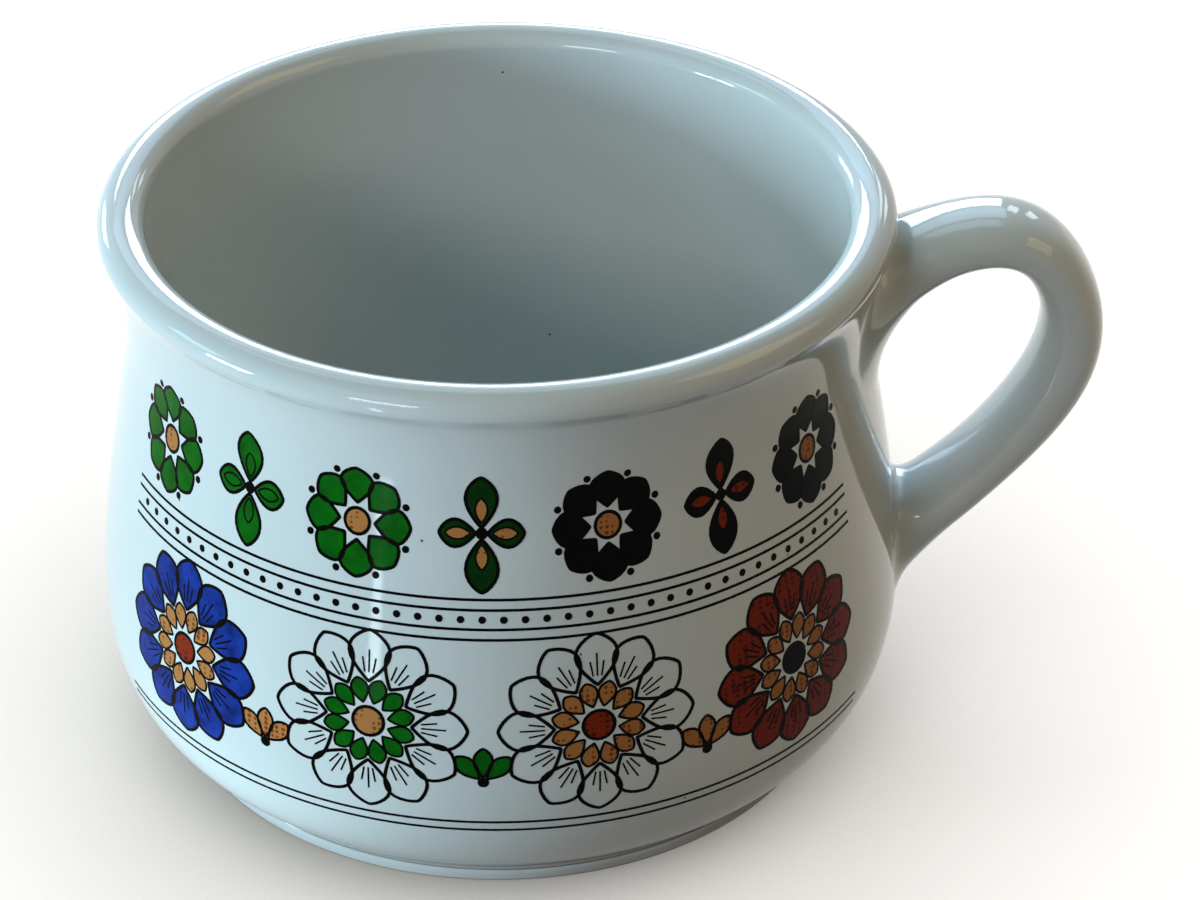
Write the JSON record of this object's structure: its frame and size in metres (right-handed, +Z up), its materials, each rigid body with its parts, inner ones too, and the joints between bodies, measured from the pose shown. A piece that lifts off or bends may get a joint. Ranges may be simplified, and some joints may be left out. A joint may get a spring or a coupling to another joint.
{
  "type": "soup mug",
  "caption": "Wide low stoneware soup mug with a rolled lip, a rounded belly on a foot ring, and a strap handle joined on with slip.",
  "frame": {"origin": "on the table, at the middle of the footprint of the mug and its handle; the bowl's own axis stands at x = -0.01379", "axes": "+X from the bowl towards the handle, +Z up, +Y to the far side when the handle is at the right"},
  "size_m": [0.145, 0.1174, 0.084],
  "materials": {
    "body_glaze": "glossy white tin glaze over stoneware, bare fired clay under the foot",
    "handle_glaze": "glossy white tin glaze over stoneware",
    "slip_glaze": "glossy white glaze over luting slip",
    "print_enamel": "screen-printed ceramic enamel fired onto the glaze, slightly less glossy than it"
  },
  "bodies": {
    "root": {"mug_body": "body_glaze", "handle": "handle_glaze", "upper_slip_joint": "slip_glaze", "lower_slip_joint": "slip_glaze"}
  },
  "joints": []
}
